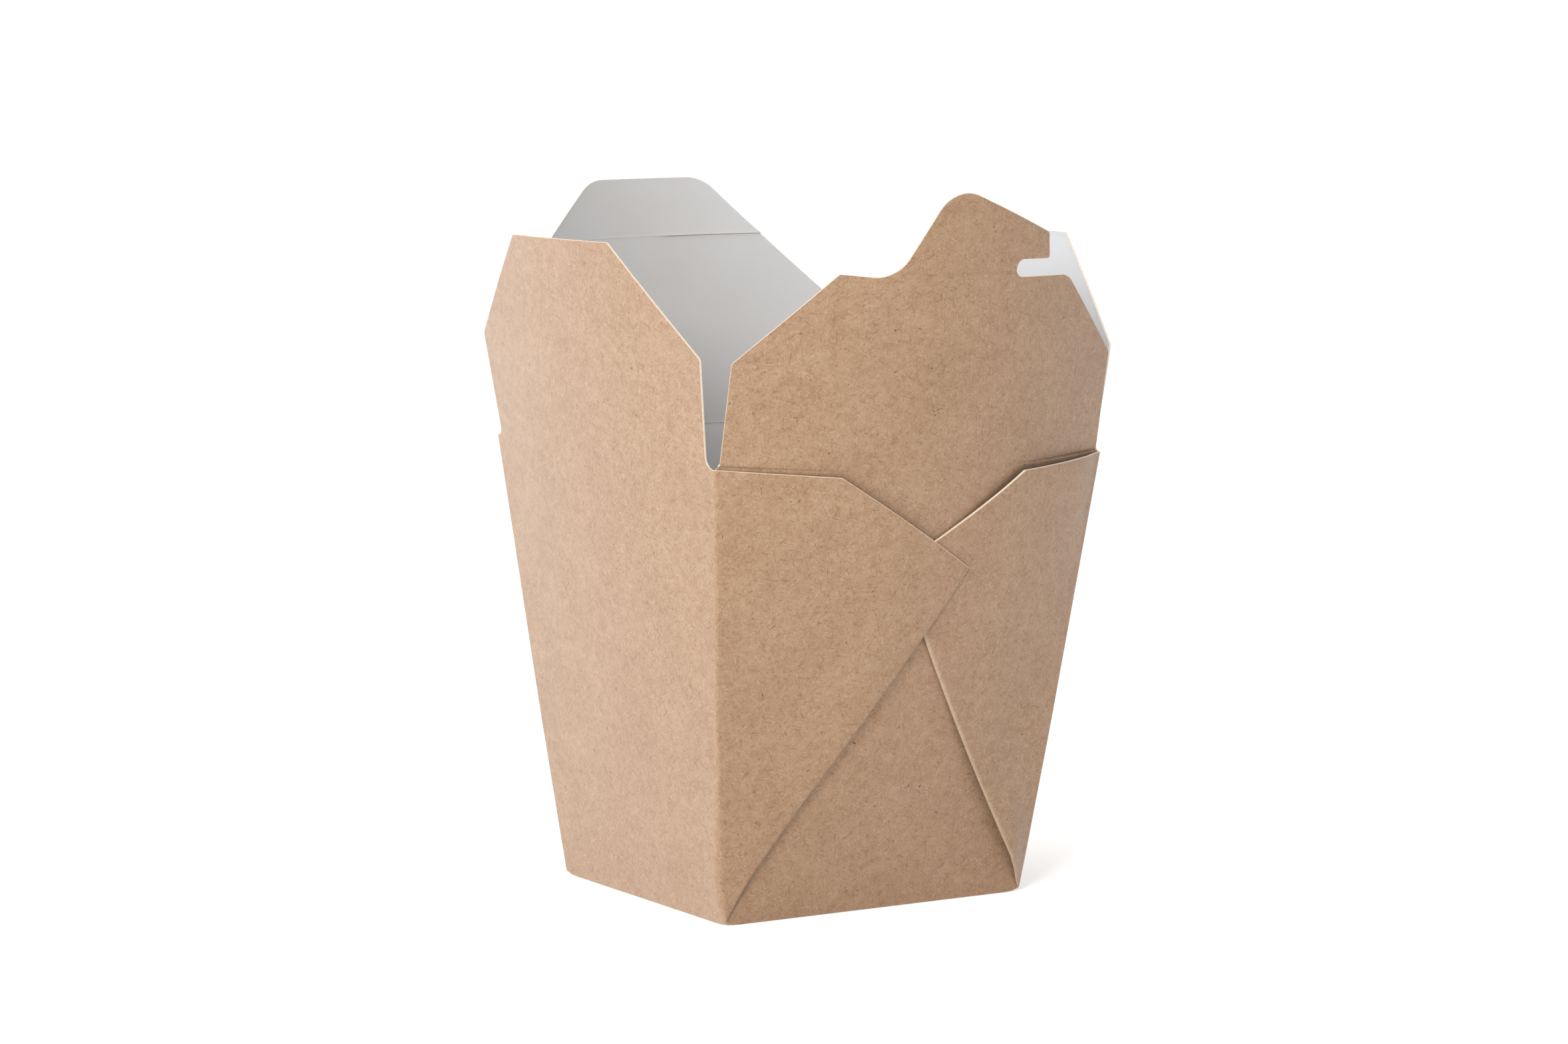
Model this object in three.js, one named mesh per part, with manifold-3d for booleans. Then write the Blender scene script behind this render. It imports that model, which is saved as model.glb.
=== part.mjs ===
// An open folding food pail of kraft board, standing on its base with all of its top flaps up.
//
// Millimetres, +Z up. The origin is the middle of the base's underside. The box faces -Y: that wall
// and the back wall are covered by gussets, and the walls at -X and +X are plain.
// Each wall is built in a frame of its own, in which it faces -Y and x runs to the right as seen
// from outside, and is then turned to its place about the Z axis.

import * as THREE from "three";
import { mergeVertices } from "three/addons/utils/BufferGeometryUtils.js";
import Module from "manifold-3d";

const wasm = await Module();
wasm.setup();

// ---------------------------------------------------------------- driving sizes

const BOARD = 0.42; // thickness of the coated board
const GAP = 0.3; // clearance left at every crease and between folded layers

const BASE_X = 77.6; // base, outside, across the gusseted walls
const BASE_Y = 69.3; // base, outside, across the plain walls
const RIM_X = 98.4; // the same two at the creases, corner to corner
const RIM_Y = 96.6;
const CREASE_Z = 100; // height of the creases at the corners
const CREASE_SAG = 1.5; // how much lower a crease is in the middle of its wall

const GUSSETED_BULGE = 14; // how far the middle of a gusseted wall stands out at its crease
const PLAIN_BULGE = 5; // the same for a plain wall

const TILT = { front: 11.5, back: 9, left: 9, right: 6.4 }; // flaps, outward from upright, degrees

const FLAP_REACH = 70; // longer than any flap with its tongue
const CORNER_SLOT = 1.8; // from a corner to the edge of the front and back flaps
const PLAIN_CORNER_SLOT = 2.4; // the same for the flaps of the plain walls
const SHOULDER_SPREAD = 0.6; // how much wider a front or back flap is at its shoulders
const PLAIN_SHOULDER_SPREAD = 1.5; // the same for the flaps of the plain walls
const CORNER_ROUND = 1; // radius on the flaps' corners

const PLAIN_SHOULDER = 22.4; // heights above the crease, along the flap
const PLAIN_TOP = 46.4;
const PLAIN_TOP_WIDTH = 42.2;
const FRONT_SHOULDER = 21.8;
const BACK_SHOULDER = 23.7;

const FRONT_TOP = 41.4; // the front flap's top edge, beside its tongue
const FRONT_TOP_LEFT = 28.8; // how far that edge runs to each side of the middle
const FRONT_TOP_RIGHT = 28.8;
const TONGUE_CREASE = 41.6;
const TONGUE_HEIGHT = 60.35; // where the tongue's sloping edges would meet
const TONGUE_TIP_X = -6.1;
const TONGUE_ROUND = 7; // radius of its round top, and of the curve at its foot
const TONGUE_FOOT = { x: -16.9, h: 40.2 };
const TONGUE_HEEL = { x: 20.8, h: 49.8 }; // the corner at its right
const HOOK_NOTCH = { inner: 12.45, outer: 22, low: 40.2, high: 44.0 };

const TAB_CREASE = 42.1;
const TAB_TOP = 56.5;
const TAB_ROUND = 8;
const TAB_SLIT = { from: 17.2, low: 42.6, high: 43.1 }; // open at the tab's edge

const GUSSET_TOP = { x: 23.3, z: 97.8 }; // corner of the gusset's top edge, from the wall's middle
const GUSSET_CORNER_Z = 99.2; // its top edge where it leaves the corner
const GUSSET_TIP = { x: 8.7, z: 78.3 }; // its tip, past the wall's middle
const GUSSET_LAYERS = 2; // the web is folded double

const GUSSET_LIFTED = 0.62; // share of the way to its tip at which the upper gusset is fully raised

const COLUMNS = 24; // steps across a bent sheet
const WALL_ROWS = 3; // and up it
const GUSSET_ROWS = 6;
const FLAP_ROWS = 2;

// ---------------------------------------------------------------- the four walls

const WALLS = {
  front: {
    turn: 0,
    base: [BASE_X / 2, BASE_Y / 2],
    rim: [RIM_X / 2, RIM_Y / 2],
    bulge: GUSSETED_BULGE,
    tilt: TILT.front,
  },
  back: {
    turn: 180,
    base: [BASE_X / 2, BASE_Y / 2],
    rim: [RIM_X / 2, RIM_Y / 2],
    bulge: GUSSETED_BULGE,
    tilt: TILT.back,
  },
  left: {
    turn: -90,
    base: [BASE_Y / 2, BASE_X / 2],
    rim: [RIM_Y / 2, RIM_X / 2],
    bulge: PLAIN_BULGE,
    tilt: TILT.left,
  },
  right: {
    turn: 90,
    base: [BASE_Y / 2, BASE_X / 2],
    rim: [RIM_Y / 2, RIM_X / 2],
    bulge: PLAIN_BULGE,
    tilt: TILT.right,
  },
};

const mix = THREE.MathUtils.lerp;
const radians = THREE.MathUtils.degToRad;

// Half of a wall's breadth at height z, from corner to corner.
function halfBreadth(wall, z) {
  return mix(wall.base[0], wall.rim[0], z / CREASE_Z);
}

// How far a wall's outer face stands from the middle of the box at (x, z). The wall is straight
// along the base and bowed more and more towards its crease.
function wallDistance(wall, x, z) {
  const share = Math.min(1, Math.abs(x) / halfBreadth(wall, z));
  const bow = wall.bulge * (z / CREASE_Z) * Math.cos((share * Math.PI) / 2);
  return mix(wall.base[1], wall.rim[1], z / CREASE_Z) + bow;
}

// Height of a wall's crease at x.
function creaseHeight(wall, x) {
  const share = Math.min(1, Math.abs(x) / wall.rim[0]);
  return CREASE_Z - CREASE_SAG * (1 - share * share);
}

// ---------------------------------------------------------------- solids and bent sheets

// A closed three.js geometry as a solid that can be cut and joined.
function solid(geometry) {
  geometry.deleteAttribute("normal");
  geometry.deleteAttribute("uv");
  const merged = mergeVertices(geometry, 1e-4);
  const vertProperties = merged.getAttribute("position").array;
  const triVerts = new Uint32Array(merged.index.array);
  return new wasm.Manifold(new wasm.Mesh({ numProp: 3, vertProperties, triVerts }));
}

// A sheet whose outer face lies on place(across, up), with across from -1 to 1 and up from 0 to 1,
// and whose inner face lies thickness behind it, square to the sheet.
function bentSheet(place, thickness, rows) {
  const box = new THREE.BoxGeometry(2, 1, 1, COLUMNS, rows, 1);
  const position = box.getAttribute("position");
  const step = 1e-3;
  for (let i = 0; i < position.count; i++) {
    const across = position.getX(i);
    const up = position.getY(i) + 0.5;
    const depth = 0.5 - position.getZ(i);
    const along = place(across + step, up).sub(place(across - step, up));
    const upward = place(across, up + step).sub(place(across, up - step));
    const inward = along.cross(upward).normalize().negate();
    const point = place(across, up).addScaledVector(inward, depth * thickness);
    position.setXYZ(i, point.x, point.y, point.z);
  }
  return solid(box);
}

// An outline with rounded corners, from points [x, y, radius].
function outline(points) {
  const shape = new THREE.Shape();
  points.forEach(([x, y, radius = 0], i) => {
    const corner = new THREE.Vector2(x, y);
    const before = new THREE.Vector2(...points.at(i - 1).slice(0, 2)).sub(corner).normalize();
    const after = new THREE.Vector2(...points[(i + 1) % points.length].slice(0, 2)).sub(corner).normalize();
    const reach = radius / Math.tan(before.angleTo(after) / 2);
    const start = corner.clone().addScaledVector(before, reach);
    const end = corner.clone().addScaledVector(after, reach);
    if (i === 0) shape.moveTo(start.x, start.y);
    else shape.lineTo(start.x, start.y);
    if (radius > 0) shape.quadraticCurveTo(corner.x, corner.y, end.x, end.y);
  });
  return shape;
}

// A block with this outline in elevation, as deep as the whole box, to cut a wall or a flap from.
// Heights in the outline are multiplied by scale and start at z.
function elevationCutter(points, z = 0, scale = 1) {
  const block = new THREE.ExtrudeGeometry(outline(points), {
    depth: RIM_X,
    bevelEnabled: false,
    curveSegments: 6,
  });
  block.scale(1, scale, 1);
  block.rotateX(Math.PI / 2);
  block.translate(0, 0, z);
  return solid(block);
}

// A solid turned from its wall's own frame to its place.
function turned(made, wall) {
  return made.rotate([0, 0, wall.turn]);
}

// ---------------------------------------------------------------- the carton

function base() {
  const inset = BOARD / 3; // the panel ends inside the walls' thickness
  const panel = new THREE.BoxGeometry(BASE_X - 2 * inset, BASE_Y - 2 * inset, BOARD);
  panel.translate(0, 0, BOARD / 2);
  return solid(panel);
}

// One wall. A plain wall runs past the corners by `overhang`, where the webs are folded off it.
function wallSheet(wall, overhang) {
  const place = (across, up) => {
    const z = up * creaseHeight(wall, across * wall.rim[0]);
    const x = across * (halfBreadth(wall, z) + overhang);
    return new THREE.Vector3(x, -wallDistance(wall, x, z), z);
  };
  return turned(bentSheet(place, BOARD, WALL_ROWS), wall);
}

// One gusset: a web folded double, lying on its wall, from the corner at `side` (-1 or 1) to its
// tip past the middle. `lift` is how far it stands off the wall beyond the usual gap at its tip.
function gusset(wall, side, lift) {
  const thickness = GUSSET_LAYERS * BOARD;
  const inset = BOARD / 3;
  const place = (across, up) => {
    const z = up * CREASE_Z;
    const share = (1 - across * side) / 2; // 0 at the corner, 1 past the tip
    const x = side * mix(halfBreadth(wall, z) - inset, -GUSSET_TIP.x - 2, share);
    const raised = Math.min(1, (share / GUSSET_LIFTED) ** 2);
    const stand = GAP + thickness + lift * raised;
    return new THREE.Vector3(x, -wallDistance(wall, x, z) - stand, z);
  };
  const web = elevationCutter([
    [side * (wall.base[0] + 1), 0],
    [side * (wall.rim[0] + 1), CREASE_Z],
    [side * (wall.rim[0] - 1), GUSSET_CORNER_Z],
    [side * GUSSET_TOP.x, GUSSET_TOP.z],
    [-side * GUSSET_TIP.x, GUSSET_TIP.z],
    [side * (wall.base[0] - 1), 0],
  ]);
  return turned(bentSheet(place, thickness, GUSSET_ROWS).intersect(web), wall);
}

function carton() {
  const overhang = GAP + GUSSET_LAYERS * BOARD;
  const parts = [
    base(),
    wallSheet(WALLS.front, -BOARD / 3),
    wallSheet(WALLS.back, -BOARD / 3),
    wallSheet(WALLS.left, overhang),
    wallSheet(WALLS.right, overhang),
    ...[WALLS.front, WALLS.back].flatMap((wall) => [
      gusset(wall, -1, overhang), // the left one passes over the right one
      gusset(wall, 1, 0),
    ]),
  ];
  return parts.reduce((whole, part) => whole.add(part));
}

// ---------------------------------------------------------------- the flaps

// The bowed sheet that a wall's flap is cut from, from its crease up.
function flapSheet(wall) {
  const tilt = radians(wall.tilt);
  const place = (across, up) => {
    const x = across * wall.rim[0];
    const foot = creaseHeight(wall, x) - CREASE_Z + GAP;
    const height = mix(foot, FLAP_REACH, up);
    const distance = wallDistance(wall, x, CREASE_Z) + height * Math.sin(tilt);
    return new THREE.Vector3(x, -distance, CREASE_Z + height * Math.cos(tilt));
  };
  return bentSheet(place, BOARD, FLAP_ROWS);
}

// The part of a wall's flap inside an outline of points [x, height along the flap, radius].
function flap(wall, points) {
  const cutter = elevationCutter(points, CREASE_Z, Math.cos(radians(wall.tilt)));
  return turned(flapSheet(wall).intersect(cutter), wall);
}

// From the right shoulder down, round the crease and up to the left shoulder. It starts well
// below the crease, which the sheet itself ends at.
function lowerEdge(wall, slot, spread, shoulder) {
  const half = wall.rim[0] - slot;
  return [
    [half + spread, shoulder, CORNER_ROUND],
    [half, 0],
    [half, -10],
    [-half, -10],
    [-half, 0],
    [-half - spread, shoulder, CORNER_ROUND],
  ];
}

function plainFlap(wall) {
  return flap(wall, [
    ...lowerEdge(wall, PLAIN_CORNER_SLOT, PLAIN_SHOULDER_SPREAD, PLAIN_SHOULDER).reverse(),
    [PLAIN_TOP_WIDTH / 2, PLAIN_TOP, CORNER_ROUND],
    [-PLAIN_TOP_WIDTH / 2, PLAIN_TOP, CORNER_ROUND],
  ]);
}

// The front panel's outline: the flap, the tongue on it and the notch that makes the tongue a hook.
function frontOutline() {
  const notchRound = (HOOK_NOTCH.high - HOOK_NOTCH.low) / 2.1;
  return [
    ...lowerEdge(WALLS.front, CORNER_SLOT, SHOULDER_SPREAD, FRONT_SHOULDER).reverse(),
    [FRONT_TOP_RIGHT, HOOK_NOTCH.low, 5],
    [HOOK_NOTCH.inner, HOOK_NOTCH.low, notchRound],
    [HOOK_NOTCH.inner, HOOK_NOTCH.high, notchRound],
    [HOOK_NOTCH.outer, HOOK_NOTCH.high, CORNER_ROUND],
    [TONGUE_HEEL.x, TONGUE_HEEL.h, CORNER_ROUND],
    [TONGUE_TIP_X, TONGUE_HEIGHT, TONGUE_ROUND],
    [TONGUE_FOOT.x, TONGUE_FOOT.h, TONGUE_ROUND],
    [-FRONT_TOP_LEFT, FRONT_TOP, CORNER_ROUND],
  ];
}

// The back panel's outline: the flap and the tab on it. The box's right is this panel's left.
function backOutline() {
  const rise = TAB_TOP - BACK_SHOULDER;
  const topHalf = RIM_X / 2 - CORNER_SLOT + SHOULDER_SPREAD - rise; // its sides lean 45 degrees
  return [
    ...lowerEdge(WALLS.back, CORNER_SLOT, SHOULDER_SPREAD, BACK_SHOULDER).reverse(),
    [topHalf, TAB_TOP, TAB_ROUND],
    [-topHalf, TAB_TOP, TAB_ROUND],
  ];
}

// A band of a flap between two heights, to part it at a crease, with an optional step at `from`
// towards -x, where a slit takes the crease's place.
function band(wall, low, high, step) {
  const wide = RIM_X;
  const points = [
    [-wide, low],
    [wide, low],
    [wide, high],
    [-wide, high],
  ];
  if (step?.side === "high") {
    points.splice(3, 1, [step.x, high], [step.x, step.h], [-wide, step.h]);
  }
  if (step?.side === "low") {
    points.splice(0, 1, [-wide, step.h], [step.x, step.h], [step.x, low]);
  }
  return turned(elevationCutter(points, CREASE_Z, Math.cos(radians(wall.tilt))), wall);
}

function frontFlap() {
  const panel = flap(WALLS.front, frontOutline());
  return panel.intersect(band(WALLS.front, -10, TONGUE_CREASE - GAP / 2));
}

function tongue() {
  const panel = flap(WALLS.front, frontOutline());
  return panel.intersect(band(WALLS.front, TONGUE_CREASE + GAP / 2, FLAP_REACH));
}

function backFlap() {
  const step = { side: "high", x: -TAB_SLIT.from - GAP / 2, h: TAB_SLIT.low };
  const panel = flap(WALLS.back, backOutline());
  return panel.intersect(band(WALLS.back, -10, TAB_CREASE - GAP / 2, step));
}

function tab() {
  const step = { side: "low", x: -TAB_SLIT.from + GAP / 2, h: TAB_SLIT.high };
  const panel = flap(WALLS.back, backOutline());
  return panel.intersect(band(WALLS.back, TAB_CREASE + GAP / 2, FLAP_REACH, step));
}

// ---------------------------------------------------------------- the scene graph

const KRAFT = { color: 0xc49a73, roughness: 0.85, metalness: 0 };

// A named mesh of kraft board from a finished solid.
function boardMesh(name, made) {
  const data = made.getMesh();
  const geometry = new THREE.BufferGeometry();
  geometry.setAttribute("position", new THREE.BufferAttribute(data.vertProperties, data.numProp));
  geometry.setIndex(new THREE.BufferAttribute(data.triVerts, 1));
  geometry.computeVertexNormals();
  const mesh = new THREE.Mesh(geometry, new THREE.MeshStandardMaterial(KRAFT));
  mesh.name = name;
  return mesh;
}

const pail = new THREE.Group();
pail.name = "folding_food_pail";
pail.add(
  boardMesh("carton", carton()),
  boardMesh("flap_left", plainFlap(WALLS.left)),
  boardMesh("flap_right", plainFlap(WALLS.right)),
  boardMesh("flap_front", frontFlap()),
  boardMesh("flap_back", backFlap()),
  boardMesh("tongue", tongue()),
  boardMesh("tab", tab()),
);

export default pail;
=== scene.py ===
# %% [markdown]
# # An open folding food pail
#
# The real box is one die-cut sheet of board: brown kraft outside, white coated inside. It is
# folded along scored lines, and the webs between its walls are tucked flat against the front and
# the back. This lesson makes it the same way. Each wall starts as a flat blank with its flap (and
# its webs), is cut into a fine grid, and is then bent into place, so every fold, bulge and layer
# is real geometry. The CAD model gives the sizes, the bodies and the hinges.

# %% Load the frame
import math
from functools import partial

import bmesh
import bpy
from mathutils import Matrix, Vector
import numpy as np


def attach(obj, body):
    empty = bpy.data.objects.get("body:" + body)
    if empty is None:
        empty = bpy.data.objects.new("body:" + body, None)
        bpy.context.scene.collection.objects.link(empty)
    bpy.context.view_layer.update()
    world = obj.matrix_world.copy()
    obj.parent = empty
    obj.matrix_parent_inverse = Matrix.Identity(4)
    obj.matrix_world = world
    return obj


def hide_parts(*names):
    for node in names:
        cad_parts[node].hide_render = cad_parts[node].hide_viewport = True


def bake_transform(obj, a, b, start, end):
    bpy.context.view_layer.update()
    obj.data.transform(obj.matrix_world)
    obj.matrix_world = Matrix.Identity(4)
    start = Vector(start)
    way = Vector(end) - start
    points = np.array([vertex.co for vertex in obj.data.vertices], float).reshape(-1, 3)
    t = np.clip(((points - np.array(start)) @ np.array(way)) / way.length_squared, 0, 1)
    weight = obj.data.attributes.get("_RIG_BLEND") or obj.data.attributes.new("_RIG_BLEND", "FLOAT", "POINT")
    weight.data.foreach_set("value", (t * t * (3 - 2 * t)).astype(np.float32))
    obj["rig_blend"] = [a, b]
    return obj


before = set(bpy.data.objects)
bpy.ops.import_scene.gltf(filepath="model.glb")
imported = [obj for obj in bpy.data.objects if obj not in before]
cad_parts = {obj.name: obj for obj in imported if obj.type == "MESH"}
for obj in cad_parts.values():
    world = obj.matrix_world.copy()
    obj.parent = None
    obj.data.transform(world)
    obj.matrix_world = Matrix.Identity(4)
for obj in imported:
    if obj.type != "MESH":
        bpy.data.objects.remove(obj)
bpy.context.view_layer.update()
MM = 0.001

# %% [markdown]
# ## The camera
#
# A long lens from the front left, a little above the rim. A long lens keeps the box's edges
# nearly parallel, as in a catalogue. Its aim is given as a bearing, an angle downward and a roll,
# so it is easy to read which way it looks.

# %% Camera
CAMERA_PLACE = (-0.5293, -0.8657, 0.1898)
AZIMUTH = math.radians(-31.32)  # 0 looks along +Y
ELEVATION = math.radians(6.09)  # it looks down by this much
ROLL = math.radians(0.46)
LENS = 104.9
SENSOR_WIDTH = 36


def new_object(name, data):
    """An object with this mesh, camera or light, in the scene."""
    thing = bpy.data.objects.new(name, data)
    bpy.context.scene.collection.objects.link(thing)
    return thing


camera = new_object("camera", bpy.data.cameras.new("camera"))
camera.data.lens = LENS
camera.data.sensor_width = SENSOR_WIDTH
camera.location = CAMERA_PLACE
looking = Vector((
    -math.sin(AZIMUTH) * math.cos(ELEVATION),
    math.cos(AZIMUTH) * math.cos(ELEVATION),
    -math.sin(ELEVATION),
))
camera.rotation_mode = "QUATERNION"
upright = looking.to_track_quat("-Z", "Y")
camera.rotation_quaternion = upright @ Matrix.Rotation(ROLL, 3, "Z").to_quaternion()
bpy.context.scene.camera = camera
bpy.context.scene.view_settings.view_transform = "Standard"
print("camera distance to the box: %.2f m" % camera.location.length)

# %% [markdown]
# ## The sizes
#
# All lengths are in millimetres until a piece is finished. A wall's frame has it facing -Y, with
# x to the right as seen from outside; a turn about Z then puts it in its place. On every blank,
# y is the height: 0 at the base, 100 at the crease, and above that the distance along the flap.

# %% Sizes of the box
BOARD = 0.42
CREASE = 100.0
SAG = 1.5  # a crease is this much lower in the middle
SAG_REACH = 25  # the rows this near to it go down with it
SLOT_BOTTOM = CREASE - 0.5  # the round end of the slot between two flaps
LAYERS = 0.95  # from a gusseted wall's face to the face of the web folded on it
LAYERS_HEIGHT = 6.0  # the layers build up to that over this height above the base
LAYERS_CURVE = 0.7  # below 1, so most of it comes at the start
FOLD_ROUND = 0.6  # half the breadth of a folded edge
FOOT_ROUND = 1.7  # the same at the foot of a corner, where the board bends more softly
FLARE = 3.9  # how far a gusseted wall's foot is pushed out by the web that rides on top
FLARE_HEIGHT = 12.0


class Wall:
    """One wall with its flap: sizes at the base and at the crease, bulge, tilt and place."""

    def __init__(self, turn, base, rim, bulge, tilt):
        self.turn = math.radians(turn)
        self.base_half, self.base_out = base
        self.rim_half, self.rim_out = rim
        self.bulge = bulge
        self.tilt = math.radians(tilt)


# Half breadth and distance from the middle of the box, at the base and at the crease.
GUSSETED = dict(base=(39.2, 33.6), rim=(49.1, 47.9))
PLAIN = dict(
    base=(GUSSETED["base"][1] + LAYERS, GUSSETED["base"][0]),
    rim=(GUSSETED["rim"][1] + LAYERS, GUSSETED["rim"][0]),
)
WALLS = {
    "front": Wall(turn=0, bulge=14.0, tilt=11.5, **GUSSETED),
    "back": Wall(turn=180, bulge=14.0, tilt=9.0, **GUSSETED),
    "left": Wall(turn=-90, bulge=4.5, tilt=9.0, **PLAIN),
    "right": Wall(turn=90, bulge=5.5, tilt=6.4, **PLAIN),
}
print("front wall %.1f mm broad at its crease" % (2 * WALLS["front"].rim_half))

# %% [markdown]
# ## From a flat blank to a bent sheet
#
# A blank is one flat face whose corners are rounded by a vertex bevel. Bisecting it with many
# planes gives it the grid that a smooth bend needs, and puts mesh edges exactly on the folds. A
# narrow inset along the outline is there for the rim, which the cutting die crushes and rounds.
# Bending is then only moving vertices. The flat coordinates are kept as a UV map, so that the
# board's fibres run on across every fold, as they do in a real sheet.

# %% Cutting a blank
RIM_BREADTH = 0.2  # the die crushes and rounds the board this far in from a cut
RIM_DROP = 0.03
ROUND_STEPS = 8  # edges in a rounded corner
ON_LINE = 1e-4  # a vertex this near to a cut is moved onto it


def mix(a, b, share):
    """From a to b."""
    return a + (b - a) * share


def cut_blank(corners):
    """A flat face in the XY plane from corners (x, y) or (x, y, radius)."""
    blank = bmesh.new()
    ring = [blank.verts.new((corner[0], corner[1], 0)) for corner in corners]
    blank.faces.new(ring)
    for i, vertex in enumerate(ring):
        radius = corners[i][2] if len(corners[i]) > 2 else 0
        if not radius:
            continue
        here = Vector(corners[i][:2])
        before = Vector(corners[i - 1][:2]) - here
        after = Vector(corners[(i + 1) % len(corners)][:2]) - here
        reach = radius / math.tan(before.angle(after) / 2)
        bmesh.ops.bevel(
            blank, geom=[vertex], offset=reach, offset_type="OFFSET", segments=ROUND_STEPS,
            profile=0.5, affect="VERTICES", material=-1,
        )
    bmesh.ops.inset_region(
        blank, faces=blank.faces[:], thickness=RIM_BREADTH,
        use_boundary=True, use_even_offset=True,
    )
    return blank


def slice_blank(blank, point, direction, where=None):
    """Cuts the blank along the line through point in this direction, where `where` is true."""
    if where is None:
        parts = blank.verts[:] + blank.edges[:] + blank.faces[:]
    else:
        chosen = [f for f in blank.faces if where(f.calc_center_median())]
        parts = {item for f in chosen for item in (f, *f.edges, *f.verts)}
    bmesh.ops.bisect_plane(
        blank, geom=list(parts), dist=ON_LINE, plane_co=(point[0], point[1], 0),
        plane_no=(-direction[1], direction[0], 0),
    )


def steps(low, high, size):
    """Evenly spaced numbers between low and high, about size apart."""
    count = max(1, round((high - low) / size))
    return [mix(low, high, i / count) for i in range(1, count)]


def around(place, offsets):
    """Grid lines on a fold and on both sides of it."""
    return sorted({place + side * offset for offset in offsets for side in (-1, 1)})


# %% [markdown]
# ### Folds
#
# A real fold in board has a small radius. `ramp` is 0 before a fold, climbs through a short
# curve, and then grows with the distance past it. With one ramp for each side of the fold, the
# sheet leaves one surface and joins the other without a kink.

# %% A soft fold


def ramp(t, reach=FOLD_ROUND):
    """0 below -reach, t above reach, and a parabola between."""
    if t <= -reach:
        return 0.0
    if t >= reach:
        return t
    return (t + reach) ** 2 / (4 * reach)


def smooth(t):
    """0 to 1 with soft ends."""
    t = max(0.0, min(1.0, t))
    return t * t * (3 - 2 * t)


def grow(value, low, high):
    """0 up to low, 1 from high on, with soft ends."""
    return smooth((value - low) / (high - low))


def fade(value, low, high):
    """1 up to low, 0 from high on, with soft ends."""
    return 1 - grow(value, low, high)


print("a fold bends over %.1f mm" % (2 * FOLD_ROUND))

# %% [markdown]
# ## The walls' surfaces
#
# Once a pail is set up, its walls bow outward: the gusseted pair a lot, the plain pair a little.
# The bow is nothing along the base and greatest at the crease, and a cosine from corner to corner
# draws it well. The flap is the crease's own curve, carried upward and a little outward.

# %% Wall and flap surfaces


def half_breadth(wall, z):
    """Half of the wall's breadth at this height."""
    return mix(wall.base_half, wall.rim_half, z / CREASE)


def layers_at(z):
    """How far the web's layers have built up at this height."""
    return LAYERS * min(1.0, z / LAYERS_HEIGHT) ** LAYERS_CURVE if z > 0 else 0.0


def flare_at(z):
    """The foot beside an upper web is pushed out, because the layers don't fold sharply there."""
    return FLARE * (1 - min(1.0, max(0.0, z) / FLARE_HEIGHT)) ** 2


def wall_point(wall, x, z):
    """A point of the wall's outer face. x is measured on the blank."""
    share = x / half_breadth(wall, z)
    bow = wall.bulge * math.cos(min(1.0, abs(share)) * math.pi / 2)
    out = mix(wall.base_out, wall.rim_out, z / CREASE) + bow * z / CREASE
    if wall.base_half < wall.base_out:  # a plain wall, which reaches round the layers of web
        x = share * (half_breadth(wall, z) - LAYERS + layers_at(z))
        x += flare_at(z) * max(0.0, share)
    else:
        out += flare_at(z) * (1 - max(-1.0, min(1.0, share))) / 2
    return Vector((x, -out, z))


def sagged(wall, x, y):
    """Height on the blank once the crease has sagged: the rows near it go down with it."""
    share = min(1.0, abs(x) / wall.rim_half)
    near = max(0.0, 1 - abs(y - CREASE) / SAG_REACH)
    return y - SAG * (1 - share * share) * near


def flap_point(wall, x, rise):
    """A point of the flap's outer face, this far along the flap from its crease."""
    foot = wall_point(wall, x, sagged(wall, x, CREASE))
    return foot + rise * Vector((0, -math.sin(wall.tilt), math.cos(wall.tilt)))


print("front crease, in the middle:", flap_point(WALLS["front"], 0, 0))

# %% [markdown]
# ### The creases
#
# A score is pressed into the board, so the fold line sits in a shallow groove. It is deepest
# near the corners, where the flap leans against the wall's own slope, and nearly closes in the
# middle, where wall and flap run on almost straight. On a plain wall it is broad and faint. The
# tongue and the tab have a fainter score than the flaps.

# %% One panel, from the lip under the base to the top of its flap
SECOND_CREASE = {"front": 41.6, "back": 42.8}
SECOND_SKEW = {"front": 0.0, "back": -0.026}  # rise for each millimetre to the right
SECOND_DEPTH = {"front": 0.1, "back": 0.04}
SECOND_BREADTH = 0.35  # of the groove, from its line to where it has mostly closed
GUSSETED_BREADTH = 0.24
GUSSETED_DEPTH = (0.06, 0.36)  # in the middle of the wall and at its corners
PLAIN_BREADTH = 0.4
PLAIN_DEPTH = 0.06


def second_crease(name, x):
    """Height of the tongue's or the tab's score on the blank."""
    return CREASE + SECOND_CREASE[name] + SECOND_SKEW[name] * x


def groove(distance, breadth, depth):
    """How far a score pushes the board inward at this distance from its line."""
    return depth * math.exp(-((distance / breadth) ** 2))


def panel_point(wall, x, y):
    """A point of a panel's outer face: a wall's lip, the wall or its flap."""
    if y < CREASE / 2:
        point = wall_point(wall, x, ramp(y))
        point.y += ramp(-y)
        return point
    line = sagged(wall, x, CREASE)
    rise = sagged(wall, x, y) - line
    foot = wall_point(wall, x, line)
    down = wall_point(wall, x, line - ramp(-rise)) - foot
    up = flap_point(wall, x, ramp(rise)) - foot
    share = min(1.0, abs(x) / wall.rim_half)
    if wall.base_half > wall.base_out:
        dent = groove(rise, GUSSETED_BREADTH, mix(*GUSSETED_DEPTH, smooth(1.6 * share - 0.6)))
        name = "front" if wall is WALLS["front"] else "back"
        dent += groove(y - second_crease(name, x), SECOND_BREADTH, SECOND_DEPTH[name])
    else:
        dent = groove(rise, PLAIN_BREADTH, PLAIN_DEPTH)
    return foot + down + up + Vector((0, dent, 0))


print("second creases, up the flap:", SECOND_CREASE)

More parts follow.
